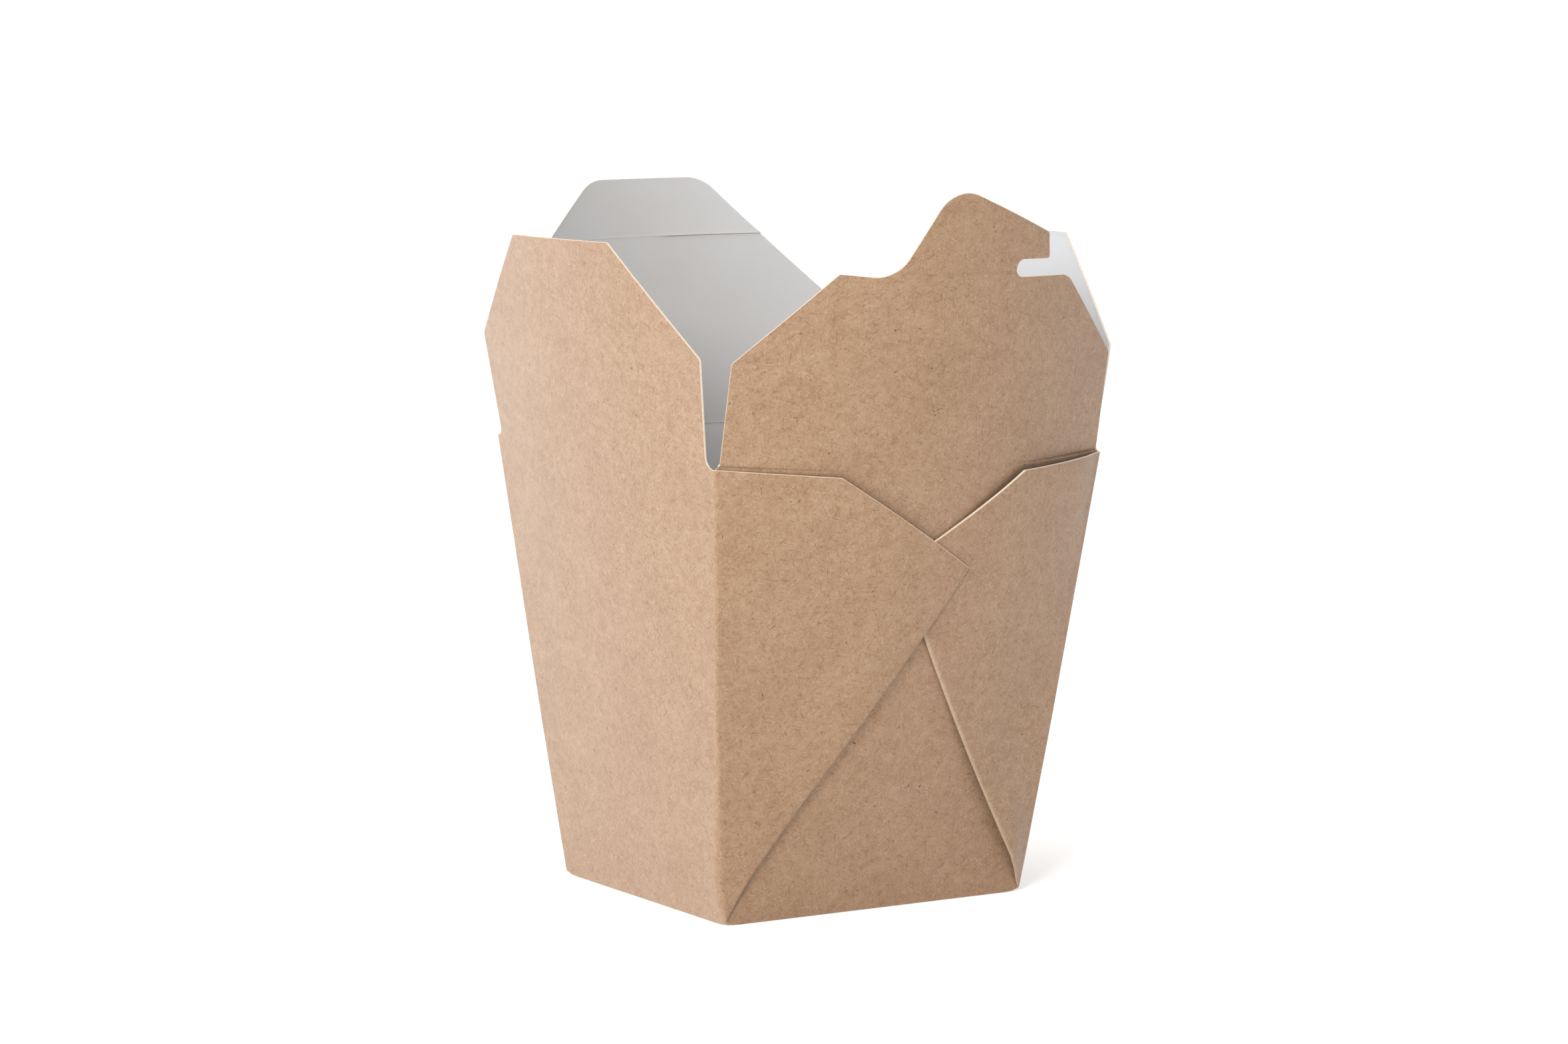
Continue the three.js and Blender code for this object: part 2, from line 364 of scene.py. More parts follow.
# %% [markdown]
# ## The webs
#
# Between two walls the blank has a web, a kite-shaped piece folded in half along its long
# diagonal and laid on the gusseted wall. Its near half hangs from the plain wall's edge. The
# kite is drawn in its own coordinates: q along the corner's edge from the bottom corner, p away
# from it. Folding swings the far half under the near one, round a tight U-turn.

# %% The web's flat outline
WEB_START = 100.9  # where its top edge meets the corner's edge
# The hidden half stops short of the corner's edge here.
HIDDEN_TRIM = [(1.6, 2.5), (3.6, 8), (2.4, 30), (0.9, WEB_START - 0.2)]


class Web:
    """A web: the angle from the corner's edge to the fold, the top corner (p, q) and the tip."""

    def __init__(self, angle, top, tip):
        self.sine = math.sin(math.radians(angle))
        self.cosine = math.cos(math.radians(angle))
        self.top = top
        self.tip = tip

    def to_fold(self, p, q):
        """(along the fold, away from it towards the near half)"""
        return p * self.sine + q * self.cosine, q * self.sine - p * self.cosine

    def from_fold(self, along, away):
        """The way back, to (p, q)."""
        return along * self.sine - away * self.cosine, along * self.cosine + away * self.sine

    def mirrored(self, p, q):
        """The point of the hidden half that lies under this one."""
        along, away = self.to_fold(p, q)
        return self.from_fold(along, -away)

    def outline(self):
        """The flat web's corners, from its lowest one round the hidden half and back."""
        return [
            *[self.mirrored(p, q) for p, q in HIDDEN_TRIM],
            self.mirrored(*self.top),
            self.from_fold(self.tip, 0),
            self.top,
            (0, WEB_START),
        ]


# By the side of the gusseted wall that each lies on: the left web rides over the right one.
WEBS = {
    -1: Web(angle=38.7, top=(26.6, 96.4), tip=92.3),
    1: Web(angle=37.6, top=(29.2, 96.0), tip=92.3),
}
print("corners of a web: %d" % len(WEBS[1].outline()))

# %% [markdown]
# ### How a web lies on its wall
#
# The web follows the bowed wall, so a distance on the web is used up by walking along that
# curve. It doesn't lie quite flat. Its free top edge springs away from the wall, its fold gapes
# low down, and where two webs cross, the left one rides over the right one.

# %% The web's place
# How far a corner's edge leans outward, along the gusseted wall and away from it.
CORNER_RUN = GUSSETED["rim"][0] - GUSSETED["base"][0]
CORNER_LEAN = GUSSETED["rim"][1] - GUSSETED["base"][1]
WALL_SLANT = math.hypot(CREASE, CORNER_LEAN)
CORNER_EDGE = math.hypot(CORNER_RUN, WALL_SLANT)
EDGE_ALONG = CORNER_RUN / CORNER_EDGE
EDGE_UP = WALL_SLANT / CORNER_EDGE
TURN_REACH = 0.6  # half the breadth of the U-turn
TURN_HEIGHT = 0.44  # from its middle to each of the two layers' faces
TURN_START = 0.03  # its reach in the bottom corner, where it is squeezed,
TURN_GROWTH = 0.15  # and how much that grows for each millimetre along the fold
TURN_LEAST = 0.1  # the share of its height that is left in the corner
LEAST_GAP = 0.02  # between a web's face and its wall's face

SPRING = {-1: 0.25, 1: 1.7}  # how far a web's top edge springs from the wall
SPRING_FROM, SPRING_TO = 45, 100  # it grows between these heights up the corner's edge
GAPE = {-1: 0.7, 1: 3.0}  # how far a web's fold gapes
GAPE_START = 7  # it grows over this distance from the corner's edge
GAPE_BREADTH = {-1: 14, 1: 16}  # and is gone this far from the fold
LEFT_GAPE_END = (24, 44)  # the left web's gape closes between these distances from the edge
RIGHT_GAPE_END = (5, 55)  # the right web's closes between these heights up the edge
RIGHT_SPRING_ARC = (0.15, 0.62)  # the part of half a wave that its spring follows: start, length
RIGHT_SPRING_START = 0.25  # of the way along its top edge
RIGHT_SPRING_END = (30, 52)  # where the left web holds it down
CROSSING = (14, 40)  # the left web climbs over the right one between these distances
CROSSING_GAP = 0.15  # between the two
WALK_STRIDE = 1.5


def walk(wall, z, distance):
    """x reached by going this distance along the wall's curve from its right corner."""
    half = half_breadth(wall, z)
    steepest = wall.bulge * z / CREASE * math.pi / 2 / half
    x, left = half, distance
    while left > 0:
        stride = min(WALK_STRIDE, left)
        slope = steepest * math.sin(max(-1, min(1, x / half)) * math.pi / 2)
        x -= stride / math.hypot(1, slope)
        left -= stride
    return x


def stand_off(side, p, q, away):
    """How far the near half's face is over the wall. The right web is side 1."""
    rest = layers_at(q)
    along = min(1.0, p / WEBS[side].top[0])
    spring = SPRING[side] * grow(q, SPRING_FROM, SPRING_TO)
    gape = GAPE[side] * grow(p, 0, GAPE_START)
    near_fold = fade(away, 0, GAPE_BREADTH[side])
    if side > 0:
        start, length = RIGHT_SPRING_ARC
        arc = math.sin(math.pi * (start + length * along))
        spring = spring * arc * grow(along, 0, RIGHT_SPRING_START)
        gape = gape * fade(q, *RIGHT_GAPE_END) * near_fold
        return rest + spring * fade(p, *RIGHT_SPRING_END) + gape
    over = (2 * TURN_HEIGHT + CROSSING_GAP) * grow(p, *CROSSING)
    gape = gape * fade(p, *LEFT_GAPE_END) * near_fold
    return rest + over + gape + spring * math.sin(math.pi * along)


def web_point(wall, side, p, q):
    """A point of the folded web's outer face, in the frame of the wall that it covers."""
    web = WEBS[side]
    along, away = web.to_fold(p, q)
    reach = min(TURN_REACH, TURN_START + TURN_GROWTH * along)
    angle = min(1.0, abs(away) / reach) * math.pi / 2
    inward = reach * (1 - math.cos(angle)) + max(0.0, abs(away) - reach)
    squeezed = TURN_HEIGHT * min(1.0, layers_at(q) / LAYERS + TURN_LEAST)
    height = squeezed * (math.sin(angle) * (1 if away > 0 else -1) - 1)
    p, q = web.from_fold(along, inward)
    flat_x = wall.base_half + q * EDGE_ALONG - p * EDGE_UP
    z = (q * EDGE_UP + p * EDGE_ALONG) * CREASE / WALL_SLANT
    x = walk(wall, z, half_breadth(wall, z) - flat_x)
    point = wall_point(wall, side * x, z)
    point.y -= max(LEAST_GAP, stand_off(side, max(p, 0.0), q, inward) + height)
    return point


print("a corner's edge: %.1f mm" % CORNER_EDGE)

# %% [markdown]
# ## The panels' outlines
#
# The plain flaps are simple. The front flap grows a hooked tongue: an S-curve on its left, a
# round top and a notch from the right. The back flap ends in a broad tab with a slit, which the
# hook slides into when the box is shut.

# %% Outlines
LIP = 1.4  # of each wall turned in under the base
CORNER_INSET = 0.38  # a gusseted wall ends against the plain wall's inner face


def up(h):
    """Height on the blank of a point h along the flap."""
    return CREASE + h


def gusseted_side(wall, shoulder):
    """The right side of a gusseted wall and its flap, up to the flap's shoulder."""
    edge = half_breadth(wall, SLOT_BOTTOM) - CORNER_INSET
    return [
        (wall.base_half - LIP, -LIP),
        (wall.base_half - CORNER_INSET, 0),
        (edge, SLOT_BOTTOM),
        (47.9, SLOT_BOTTOM, 1.1),
        (47.8, up(shoulder), 1),
    ]


def edge_directions(wall):
    """Unit vectors on a plain wall's blank, along its right corner's edge and away from it."""
    along = Vector((wall.rim_half - wall.base_half, CREASE)).normalized()
    return along, Vector((along.y, -along.x))


def edge_stretch(wall):
    """The corner's edge on the blank against the real one."""
    return CREASE / edge_directions(wall)[0].y / CORNER_EDGE


def on_blank(wall, p, q):
    """Turns (p, q) of the right web into a point of the plain wall's blank."""
    along, away = edge_directions(wall)
    point = Vector((wall.base_half, 0)) + along * q * edge_stretch(wall) + away * p
    return (point.x, point.y)


def plain_side(wall, web):
    """The right side of a plain wall and its flap, round the web."""
    return [
        (wall.base_half - LIP, -LIP),
        (wall.base_half, 0),
        *[on_blank(wall, p, q) for p, q in web.outline()],
        (45.5, SLOT_BOTTOM, 2.3),
        (48.3, up(22.8), 1),
    ]


def both_sides(right, top, left=None):
    """The corners up the right side, along the top, and down the left side."""
    return right + top + [(-corner[0], *corner[1:]) for corner in reversed(left or right)]


def front_outline(wall):
    """The front wall, its flap and the tongue with its notch."""
    return both_sides(gusseted_side(wall, 22.2), [
        (28.8, up(40.3), 5),
        (12.45, up(40.2), 1.8),
        (12.45, up(44.0), 1.8),
        (22.0, up(44.0), 0.7),
        (20.8, up(49.8), 0.9),
        (-6.1, up(60.35), 7),
        (-16.9, up(40.2), 7),
        (-28.8, up(41.4), 0.8),
    ])


def back_outline(wall):
    """The back wall, its flap and the tab."""
    return both_sides(gusseted_side(wall, 23.7), [(14.4, up(56.3), 8), (-15.6, up(56.9), 8)])


def plain_outline(wall):
    """A plain wall, its flap and its webs. The right web covers the next wall's left side."""
    top = [(21.1, up(46.4), 1), (-21.1, up(46.4), 1)]
    return both_sides(plain_side(wall, WEBS[-1]), top, plain_side(wall, WEBS[1]))


print("corners of the front blank: %d" % len(front_outline(WALLS["front"])))

# %% [markdown]
# ## The grid
#
# The bend is only as smooth as the grid. Most of a panel needs a line every few millimetres; a
# fold needs several within one. Lines up a wall fan out with its taper, so they end exactly
# where the flap's upright lines begin.

# %% Slicing
GRID = 2.5
FOLD_LINES = (0, 0.15, 0.3, 0.45, 0.6, 0.9, 1.5, 2.2)
CREASE_LINES = (0, 0.08, 0.16, 0.25, 0.35, 0.5, 0.8)
ABOVE_FLAPS = 62  # higher than any flap
WEB_LINES = (0.9, 100, 3.0)  # from and to these distances from the corner's edge, this far apart


def slice_panel(blank, wall, second=None):
    """The grid of a wall and its flap."""
    slice_blank(blank, (0, CREASE), (1, 0))
    for x in steps(-wall.rim_half, wall.rim_half, GRID):
        foot = x / wall.rim_half * wall.base_half
        slice_blank(blank, (foot, 0), (x - foot, CREASE), where=lambda c: c.y < CREASE)
        slice_blank(blank, (x, 0), (0, 1), where=lambda c: c.y > CREASE)
    rows = steps(0, CREASE, GRID) + steps(CREASE, up(ABOVE_FLAPS), GRID)
    rows += around(0, FOLD_LINES) + around(CREASE, CREASE_LINES)
    for y in rows:
        slice_blank(blank, (0, y), (1, 0))
    if second:
        for y in around(second_crease(second, 0), CREASE_LINES):
            slice_blank(blank, (0, y), (1, SECOND_SKEW[second]))


def slice_webs(blank, wall):
    """Lines on and beside the corner's edges and the webs' folds."""
    along, away = edge_directions(wall)
    for side in (-1, 1):
        web = WEBS[-side]
        fold = along * web.cosine + away * web.sine
        across = Vector((-fold.y, fold.x))
        corner = Vector((side * wall.base_half, 0))

        def sided(v):
            return Vector((v.x * side, v.y))

        def near(c):
            return c.y < CREASE and c.x * side > 0

        def outside(c):
            reach = Vector((c.x * side - wall.base_half, c.y))
            return near(c) and reach.dot(away) > 0

        for offset in around(0, FOLD_LINES):
            slice_blank(blank, corner + sided(away) * offset, sided(along), where=near)
        for offset in steps(*WEB_LINES):
            slice_blank(blank, corner + sided(away) * offset, sided(along), where=outside)
        for offset in around(0, FOLD_LINES):
            slice_blank(blank, corner + sided(across) * offset, sided(fold), where=outside)


print("grid lines on a fold: %d" % len(around(0, FOLD_LINES)))

# %% [markdown]
# ### A plain wall and its webs
#
# At the corner's edge the sheet leaves the plain wall and joins the next one. Both surfaces are
# known there, so the bend adds what each does past the edge. The fold is soft at the foot of the
# corner, where board doesn't crease well, and tight in the very corner.

# %% Bending a plain wall's panel
FOOT_ROUND_TO = 45  # up the edge, where the soft foot has become a plain fold
TIGHT_START = 0.2  # the share of the fold's reach that is left in the bottom corner
TIGHT_HEIGHT = 5


def bend_plain(wall, x, y):
    """A vertex of a plain wall's blank, webs included, in that wall's frame."""
    side = 1 if x > 0 else -1
    along, away = edge_directions(wall)
    from_foot = Vector((abs(x) - wall.base_half, y))
    p = from_foot.dot(away)
    on_edge = from_foot.dot(along)
    q = on_edge / edge_stretch(wall)
    reach = mix(FOOT_ROUND, FOLD_ROUND, grow(q, 0, FOOT_ROUND_TO))
    reach = reach * min(1.0, TIGHT_START + max(0.0, q) / TIGHT_HEIGHT)
    if y >= CREASE or p <= -reach or y < 0:
        return panel_point(wall, x, y)

    def on_web(p):
        covered = web_point(WALLS["front"], -side, p, q)
        return Vector((-side * covered.y, side * covered.x, covered.z))

    if p >= reach:
        return on_web(p)
    edge = Vector((wall.base_half, 0)) + along * on_edge
    back = edge - away * ramp(-p, reach)
    corner = panel_point(wall, side * edge.x, edge.y)
    down = panel_point(wall, side * back.x, back.y) - corner
    return corner + down + on_web(ramp(p, reach)) - on_web(0.0)


print("a plain wall's edge is stretched by %.4f" % edge_stretch(WALLS["left"]))

# %% [markdown]
# ## From blanks to pieces
#
# A panel crosses several bodies: the carton, its flap, and on the front and back a tongue or a
# tab. The sheet is parted at its creases into one piece for each body, and each piece is bent.
# Solidify then gives it the board's thickness inward, with its own materials for the white inside
# and for the pale cut edge. The outline's edges are marked sharp, so the cut edge shades crisply.
# Three things are noted on every vertex before the bend: whether it is on a cut rim and how worn it is,
# which the finish needs (along a web's fold this pale mark is partly wear, partly a painted highlight), and
# how thick the board may be. Where a web runs out in the corner of the base there is no room for the whole
# thickness, because the real board is crushed there.
# Crossing cuts leave slivers, which could turn over as the board thickens, so they are merged.

# %% Making pieces
THIN_REACH = 9.0  # the board thins out this near a web's lowest point
THINNEST = 0.12
SLIVER = 0.06  # vertices nearer to each other than this are merged
# Each blank has a place of its own on the flat sheet, so no two share the same fibres.
FLAT_PLACE = {
    "front": (0, 0), "back": (300, 0), "left": (600, 0), "right": (900, 0), "base": (0, -60),
}
made = {}


def finish_piece(name, sheet, turn):
    """Turns a sheet to its place, scales it to metres and gives it the board's thickness."""
    turned = Matrix.Rotation(turn, 3, "Z")
    bmesh.ops.rotate(sheet, verts=sheet.verts, cent=(0, 0, 0), matrix=turned)
    bmesh.ops.scale(sheet, verts=sheet.verts, vec=(MM, MM, MM))
    for face in sheet.faces:
        face.smooth = True
    for edge in sheet.edges:
        edge.smooth = not edge.is_boundary
    mesh = bpy.data.meshes.new(name)
    sheet.to_mesh(mesh)
    sheet.free()
    piece = new_object(name, mesh)
    piece.vertex_groups.new(name="thickness")
    board = piece.modifiers.new("board", "SOLIDIFY")
    board.thickness = BOARD * MM
    board.offset = -1
    board.use_quality_normals = True  # an even thickness round the narrow rim too
    board.material_offset = 1
    board.material_offset_rim = 2
    board.vertex_group = "thickness"
    made[name] = piece
    print("%s: %d faces" % (name, len(mesh.polygons)))


def keep_flat(sheet, place):
    """Stores the blank's own coordinates, in metres, as the UV map 'flat'."""
    flat = sheet.loops.layers.uv.new("flat")
    for face in sheet.faces:
        for loop in face.loops:
            loop[flat].uv = (loop.vert.co.xy + Vector(place)) * MM


def note_wear_highlight_and_thickness(sheet, feet, fold_wear_and_highlight):
    """Marks the cut rim and the worn folds, partly a painted highlight, and thins the board near these
    points of the blank.
    """
    rim = sheet.verts.layers.float.new("rim")
    wear_and_highlight = sheet.verts.layers.float.new("wear_and_highlight")
    groups = sheet.verts.layers.deform.verify()
    for vertex in sheet.verts:
        vertex[rim] = float(vertex.is_boundary)
        # Cut rims are pale torn fibres; along a web's fold the mark is partly wear, partly a painted
        # highlight.
        vertex[wear_and_highlight] = max(vertex[rim], fold_wear_and_highlight(vertex.co))
        near = min([(vertex.co.xy - foot).length for foot in feet], default=THIN_REACH)
        vertex[groups][0] = max(THINNEST, min(1.0, near / THIN_REACH))


def round_rim(sheet):
    """Sinks the cut rim a little, as the die leaves it."""
    rim = sheet.verts.layers.float["rim"]
    sheet.normal_update()
    for vertex in sheet.verts:
        vertex.co -= vertex.normal * RIM_DROP * vertex[rim]


def no_wear_or_highlight(co):
    """For a sheet without worn folds and their painted highlight."""
    return 0.0


def part_sheet(sheet, wall, regions, place, feet=(), fold_wear_and_highlight=no_wear_or_highlight):
    """Parts a sliced blank into pieces and bends each.

    Each region is a piece's name, a test of whether a face's centre is in it, and its bend.
    """
    bmesh.ops.remove_doubles(sheet, verts=sheet.verts, dist=SLIVER)
    keep_flat(sheet, place)
    note_wear_highlight_and_thickness(sheet, feet, fold_wear_and_highlight)
    region = sheet.faces.layers.int.new("region")
    for face in sheet.faces:
        centre = face.calc_center_median()
        face[region] = next(i for i, entry in enumerate(regions) if entry[1](centre))
    for i, (name, _, bend) in enumerate(regions):
        piece = sheet.copy()
        layer = piece.faces.layers.int["region"]
        others = [face for face in piece.faces if face[layer] != i]
        bmesh.ops.delete(piece, geom=others, context="FACES")
        for vertex in piece.verts:
            vertex.co = bend(wall, vertex.co.x, vertex.co.y)
        round_rim(piece)
        finish_piece(name, piece, wall.turn)
    sheet.free()


# %% [markdown]
# ### The corners of the base
#
# Where three folds meet, the board can't come down to a sharp point, so each corner of the base
# is lifted and rounded a little.

# %% Rounded corners of the base
CORNER_LIFT = 0.6
CORNER_LIFT_REACH = 4.0


def lifted(wall, point):
    """The point, lifted if it is near a corner of the base."""
    corner = wall_point(wall, math.copysign(wall.base_half, point.x), 0)
    near = max(0.0, 1 - (point - corner).length / CORNER_LIFT_REACH)
    return point + Vector((0, 0, CORNER_LIFT * near**2))


def bend_wall(wall, x, y):
    """A gusseted wall."""
    return lifted(wall, panel_point(wall, x, y))


def bend_wall_and_webs(wall, x, y):
    """A plain wall."""
    return lifted(wall, bend_plain(wall, x, y))


print("corners of the base lifted by %.1f mm" % CORNER_LIFT)

# %% [markdown]
# ### The front, with its tongue
#
# The front panel is a wall, a flap and a tongue with a hook. The tongue turns on its own score.
# The sheet is parted by asking of each face's centre, c, which piece it is in: the lip under the
# notch stays with the flap.

# %% The front
TONGUE_SIDES = (-19, 22.1)  # to the left and the right of these is flap
NOTCH_END = 12
NOTCH_MIDDLE = 42.1  # up the flap


def below_crease(c):
    """In a wall."""
    return c.y < CREASE


def everywhere(c):
    """In whatever is left."""
    return True


def on_tongue(c):
    """Above the tongue's score, and not under the notch."""
    between = TONGUE_SIDES[0] < c.x < TONGUE_SIDES[1]
    under_notch = c.x > NOTCH_END and c.y < up(NOTCH_MIDDLE)
    return c.y > second_crease("front", c.x) and between and not under_notch


front_blank = cut_blank(front_outline(WALLS["front"]))
slice_panel(front_blank, WALLS["front"], second="front")
part_sheet(front_blank, WALLS["front"], [
    ("front_wall", below_crease, bend_wall),
    ("tongue_board", on_tongue, panel_point),
    ("front_flap_board", everywhere, panel_point),
], place=FLAT_PLACE["front"])

# %% [markdown]
# ### The back, with its slit tab
#
# Half of the tab's score is cut right through, so that the hook can slide in. The tab springs
# inward a little along this slit, which shows its cut edge.

# %% The back
SLIT_END = -2.5  # it runs from the tab's left edge, as seen from outside, to here
SLIT_SPRING = 0.4
SLIT_HEIGHT = 6  # the spring has gone this far above the slit
SLIT_SOFTENING = 3  # and grows over this distance from its end


def on_tab(c):
    """Above the tab's score."""
    return c.y > second_crease("back", c.x)


def bend_tab(wall, x, y):
    """The tab, sprung inward along its slit."""
    over = y - second_crease("back", x)
    spring = SLIT_SPRING * max(0.0, 1 - over / SLIT_HEIGHT) ** 2
    spring = spring * smooth((SLIT_END - x) / SLIT_SOFTENING)
    return panel_point(wall, x, y) + Vector((0, spring, 0))


back_blank = cut_blank(back_outline(WALLS["back"]))
slice_panel(back_blank, WALLS["back"], second="back")
part_sheet(back_blank, WALLS["back"], [
    ("back_wall", below_crease, bend_wall),
    ("tab_board", on_tab, bend_tab),
    ("back_flap_board", everywhere, panel_point),
], place=FLAT_PLACE["back"])

# %% [markdown]
# ### The left and the right, with their webs
#
# A plain wall, its flap and its two webs are one sheet. The board's skin is painted pale along a web's fold:
# partly real rubbing, partly a painted highlight where the fold faces the light, so more on the right web
# than on the left one.

# %% The plain walls
# Painted highlight and wear along a web's fold, strongest on the right web's, which faces the light.
FOLD_WEAR_AND_HIGHLIGHT = {-1: 0.15, 1: 0.5}  # against 1 on a cut rim
FOLD_WEAR_AND_HIGHLIGHT_REACH = 1.1


def web_fold_wear_and_highlight(wall, co):
    """How worn the sheet is here, with the painted highlight: most on the line of a web's fold."""
    side = 1 if co.x > 0 else -1
    along, away = edge_directions(wall)
    from_foot = Vector((abs(co.x) - wall.base_half, co.y))
    p, q = from_foot.dot(away), from_foot.dot(along)
    if co.y > CREASE or p < 0:
        return 0.0
    off_fold = WEBS[-side].to_fold(p, q)[1]
    return FOLD_WEAR_AND_HIGHLIGHT[-side] * max(0.0, 1 - abs(off_fold) / FOLD_WEAR_AND_HIGHLIGHT_REACH)


for name in ("left", "right"):
    plain = WALLS[name]
    plain_blank = cut_blank(plain_outline(plain))
    slice_panel(plain_blank, plain)
    slice_webs(plain_blank, plain)
    feet = [Vector((side * plain.base_half, 0)) for side in (-1, 1)]
    part_sheet(plain_blank, plain, [
        (name + "_wall_and_webs", below_crease, bend_wall_and_webs),
        (name + "_flap_board", everywhere, panel_point),
    ], place=FLAT_PLACE[name], feet=feet, fold_wear_and_highlight=partial(web_fold_wear_and_highlight, plain))

# %% [markdown]
# ## The base
#
# The walls' lips are already folded in under the box, so the base only has to fill the space
# between them, flush with the lips. Its front and back edges follow the flared feet.

# %% Base panel
BASE_GRID = 16  # cells each way
base_half, base_out = GUSSETED["base"]
base_sheet = bmesh.new()
bmesh.ops.create_grid(base_sheet, x_segments=BASE_GRID, y_segments=BASE_GRID, size=1)
bmesh.ops.scale(base_sheet, verts=base_sheet.verts, vec=(base_half - LIP, base_out - LIP, 1))
bmesh.ops.reverse_faces(base_sheet, faces=base_sheet.faces)
keep_flat(base_sheet, FLAT_PLACE["base"])
note_wear_highlight_and_thickness(base_sheet, (), no_wear_or_highlight)
for vertex in base_sheet.verts:
    share = vertex.co.y / (base_out - LIP)
    toward_upper_web = math.copysign(1, share) * vertex.co.x / base_half
    vertex.co.y += FLARE * share * abs(share) * (1 + toward_upper_web) / 2
finish_piece("base_panel", base_sheet, 0)

# %% [markdown]
# ## The finishes
#
# Three finishes, one sheet: unbleached kraft paperboard outside, a white polyethylene coating
# inside, and the pale fibres of the cut edge. All of their patterns read the flat UV map, so
# they belong to the sheet, and their sizes are worked out from real millimetres.

# %% Helpers for materials
RELIEF_DEPTH = 0.04 * MM  # of the fibres, and of the film's orange peel


def srgb(hex_code):
    """An sRGB hex colour as linear RGBA."""
    channels = [int(hex_code[i:i + 2], 16) / 255 for i in (0, 2, 4)]
    return [c / 12.92 if c <= 0.04045 else ((c + 0.055) / 1.055) ** 2.4 for c in channels] + [1]


def add(tree, kind, sockets=None, **settings):
    """Adds a node. sockets: input name or number to a value or another node's output."""
    node = tree.nodes.new("ShaderNode" + kind)
    for name, value in settings.items():
        setattr(node, name, value)
    for name, value in (sockets or {}).items():
        if isinstance(value, bpy.types.NodeSocket):
            tree.links.new(value, node.inputs[name])
        else:
            node.inputs[name].default_value = value
    return node


def new_finish(name):
    """An empty material with its surface shader and the flat coordinates."""
    finish = bpy.data.materials.new(name)
    finish.use_nodes = True
    tree = finish.node_tree
    tree.nodes.clear()
    shader = add(tree, "BsdfPrincipled")
    add(tree, "OutputMaterial", {"Surface": shader.outputs["BSDF"]})
    flat = add(tree, "UVMap", uv_map="flat").outputs["UV"]
    return finish, tree, shader, flat


def patches(tree, flat, size_mm, detail=2.0, seed=0.0):
    """Soft noise with features of this size."""
    place = add(tree, "Mapping", {"Vector": flat, "Location": (seed, seed * 1.7, 0)})
    noise = add(tree, "TexNoise", {
        "Vector": place.outputs["Vector"], "Scale": 1 / (size_mm * MM), "Detail": detail,
    })
    return noise.outputs["Fac"]


def streaks(tree, flat, angle, length_mm, breadth_mm, low, high, seed, curl=1.2):
    """Short curled strokes, 0 to 1: a stretched and warped noise, cut off below low."""
    turned = add(tree, "Mapping", {
        "Vector": flat, "Location": (seed, seed, 0), "Rotation": (0, 0, math.radians(angle)),
    })
    stretched = add(tree, "Mapping", {
        "Vector": turned.outputs["Vector"],
        "Scale": (1 / (length_mm * MM), 1 / (breadth_mm * MM), 1),
    })
    noise = add(tree, "TexNoise", {
        "Vector": stretched.outputs["Vector"], "Scale": 1.0, "Detail": 1.0, "Distortion": curl,
    })
    cut = add(tree, "MapRange", {
        "Value": noise.outputs["Fac"], "From Min": low, "From Max": high,
    }, interpolation_type="SMOOTHSTEP")
    return cut.outputs["Result"]


def tint(tree, base, coat, factor):
    """Lays a coat, a hex colour and its greatest strength, over base where factor is high."""
    colour, amount = coat
    strength = add(tree, "Math", {0: factor, 1: amount}, operation="MULTIPLY")
    layer = add(tree, "Mix", {
        "Factor": strength.outputs[0], "A": base, "B": srgb(colour),
    }, data_type="RGBA")
    return layer.outputs["Result"]


print("relief of the surfaces: %.2f mm" % (RELIEF_DEPTH / MM))

# %% [markdown]
# ### Unbleached kraft paperboard
#
# Kraft board is long brown softwood fibres, pressed and left uncoated. From near by the eye sees a slightly
# cloudy brown, a felt of fine fibres one or two millimetres long lying in every direction, and now and then
# a dark fleck of bark. It is matt from in front, but at a low angle its pressed surface has a clear sheen.
# Along a cut, torn pale fibres show on the face as well, and along a web's fold the same pale colour is
# partly wear and partly a painted highlight.

# %% Kraft finish
KRAFT_DEEP = "84664B"
KRAFT_LIGHT = "997C62"
KRAFT_ROUGHNESS = 0.5
KRAFT_SPECULAR = 0.26
KRAFT_SHEEN = 0.2
KRAFT_SHEEN_ROUGHNESS = 0.5
KRAFT_BUMP = 0.35
FELT_RELIEF = 0.5  # of the fibres, against the board's fine grain
CLOUD_SIZE = 14
GRAIN_SIZE = 2.6
GRAIN_RANGE = (0.4, 0.68)  # of its noise, from none to full

# Coats: a colour and its greatest strength.
GRAIN = ("765334", 0.34)
PALE_FIBRE = ("B19B80", 0.22)
DARK_FIBRE = ("6C4527", 0.42)
BARK_FLECK = ("321F14", 0.8)
# Pale torn fibres along a cut; along a web's fold, partly wear and partly a painted highlight.
TORN_FIBRE_AND_HIGHLIGHT = ("D4C1A9", 0.5)
TORN_AND_HIGHLIGHT_RANGE = (0.1, 0.8)  # of wear, from whole skin to torn fibres

# Strokes: their size, and where their noise is cut off. A higher cut leaves fewer strokes.
FIBRE_ANGLES = (8, 37, 68, 97, 128, 159)
PALE_STROKE = dict(length_mm=2.0, breadth_mm=0.3, low=0.56, high=0.76)
DARK_STROKE = dict(length_mm=2.0, breadth_mm=0.34, low=0.56, high=0.74)
FLECK_STROKE = dict(length_mm=1.8, breadth_mm=0.6, low=0.775, high=0.79, curl=0.3)
DARK_TURN = 15  # degrees between the dark strokes and the pale ones


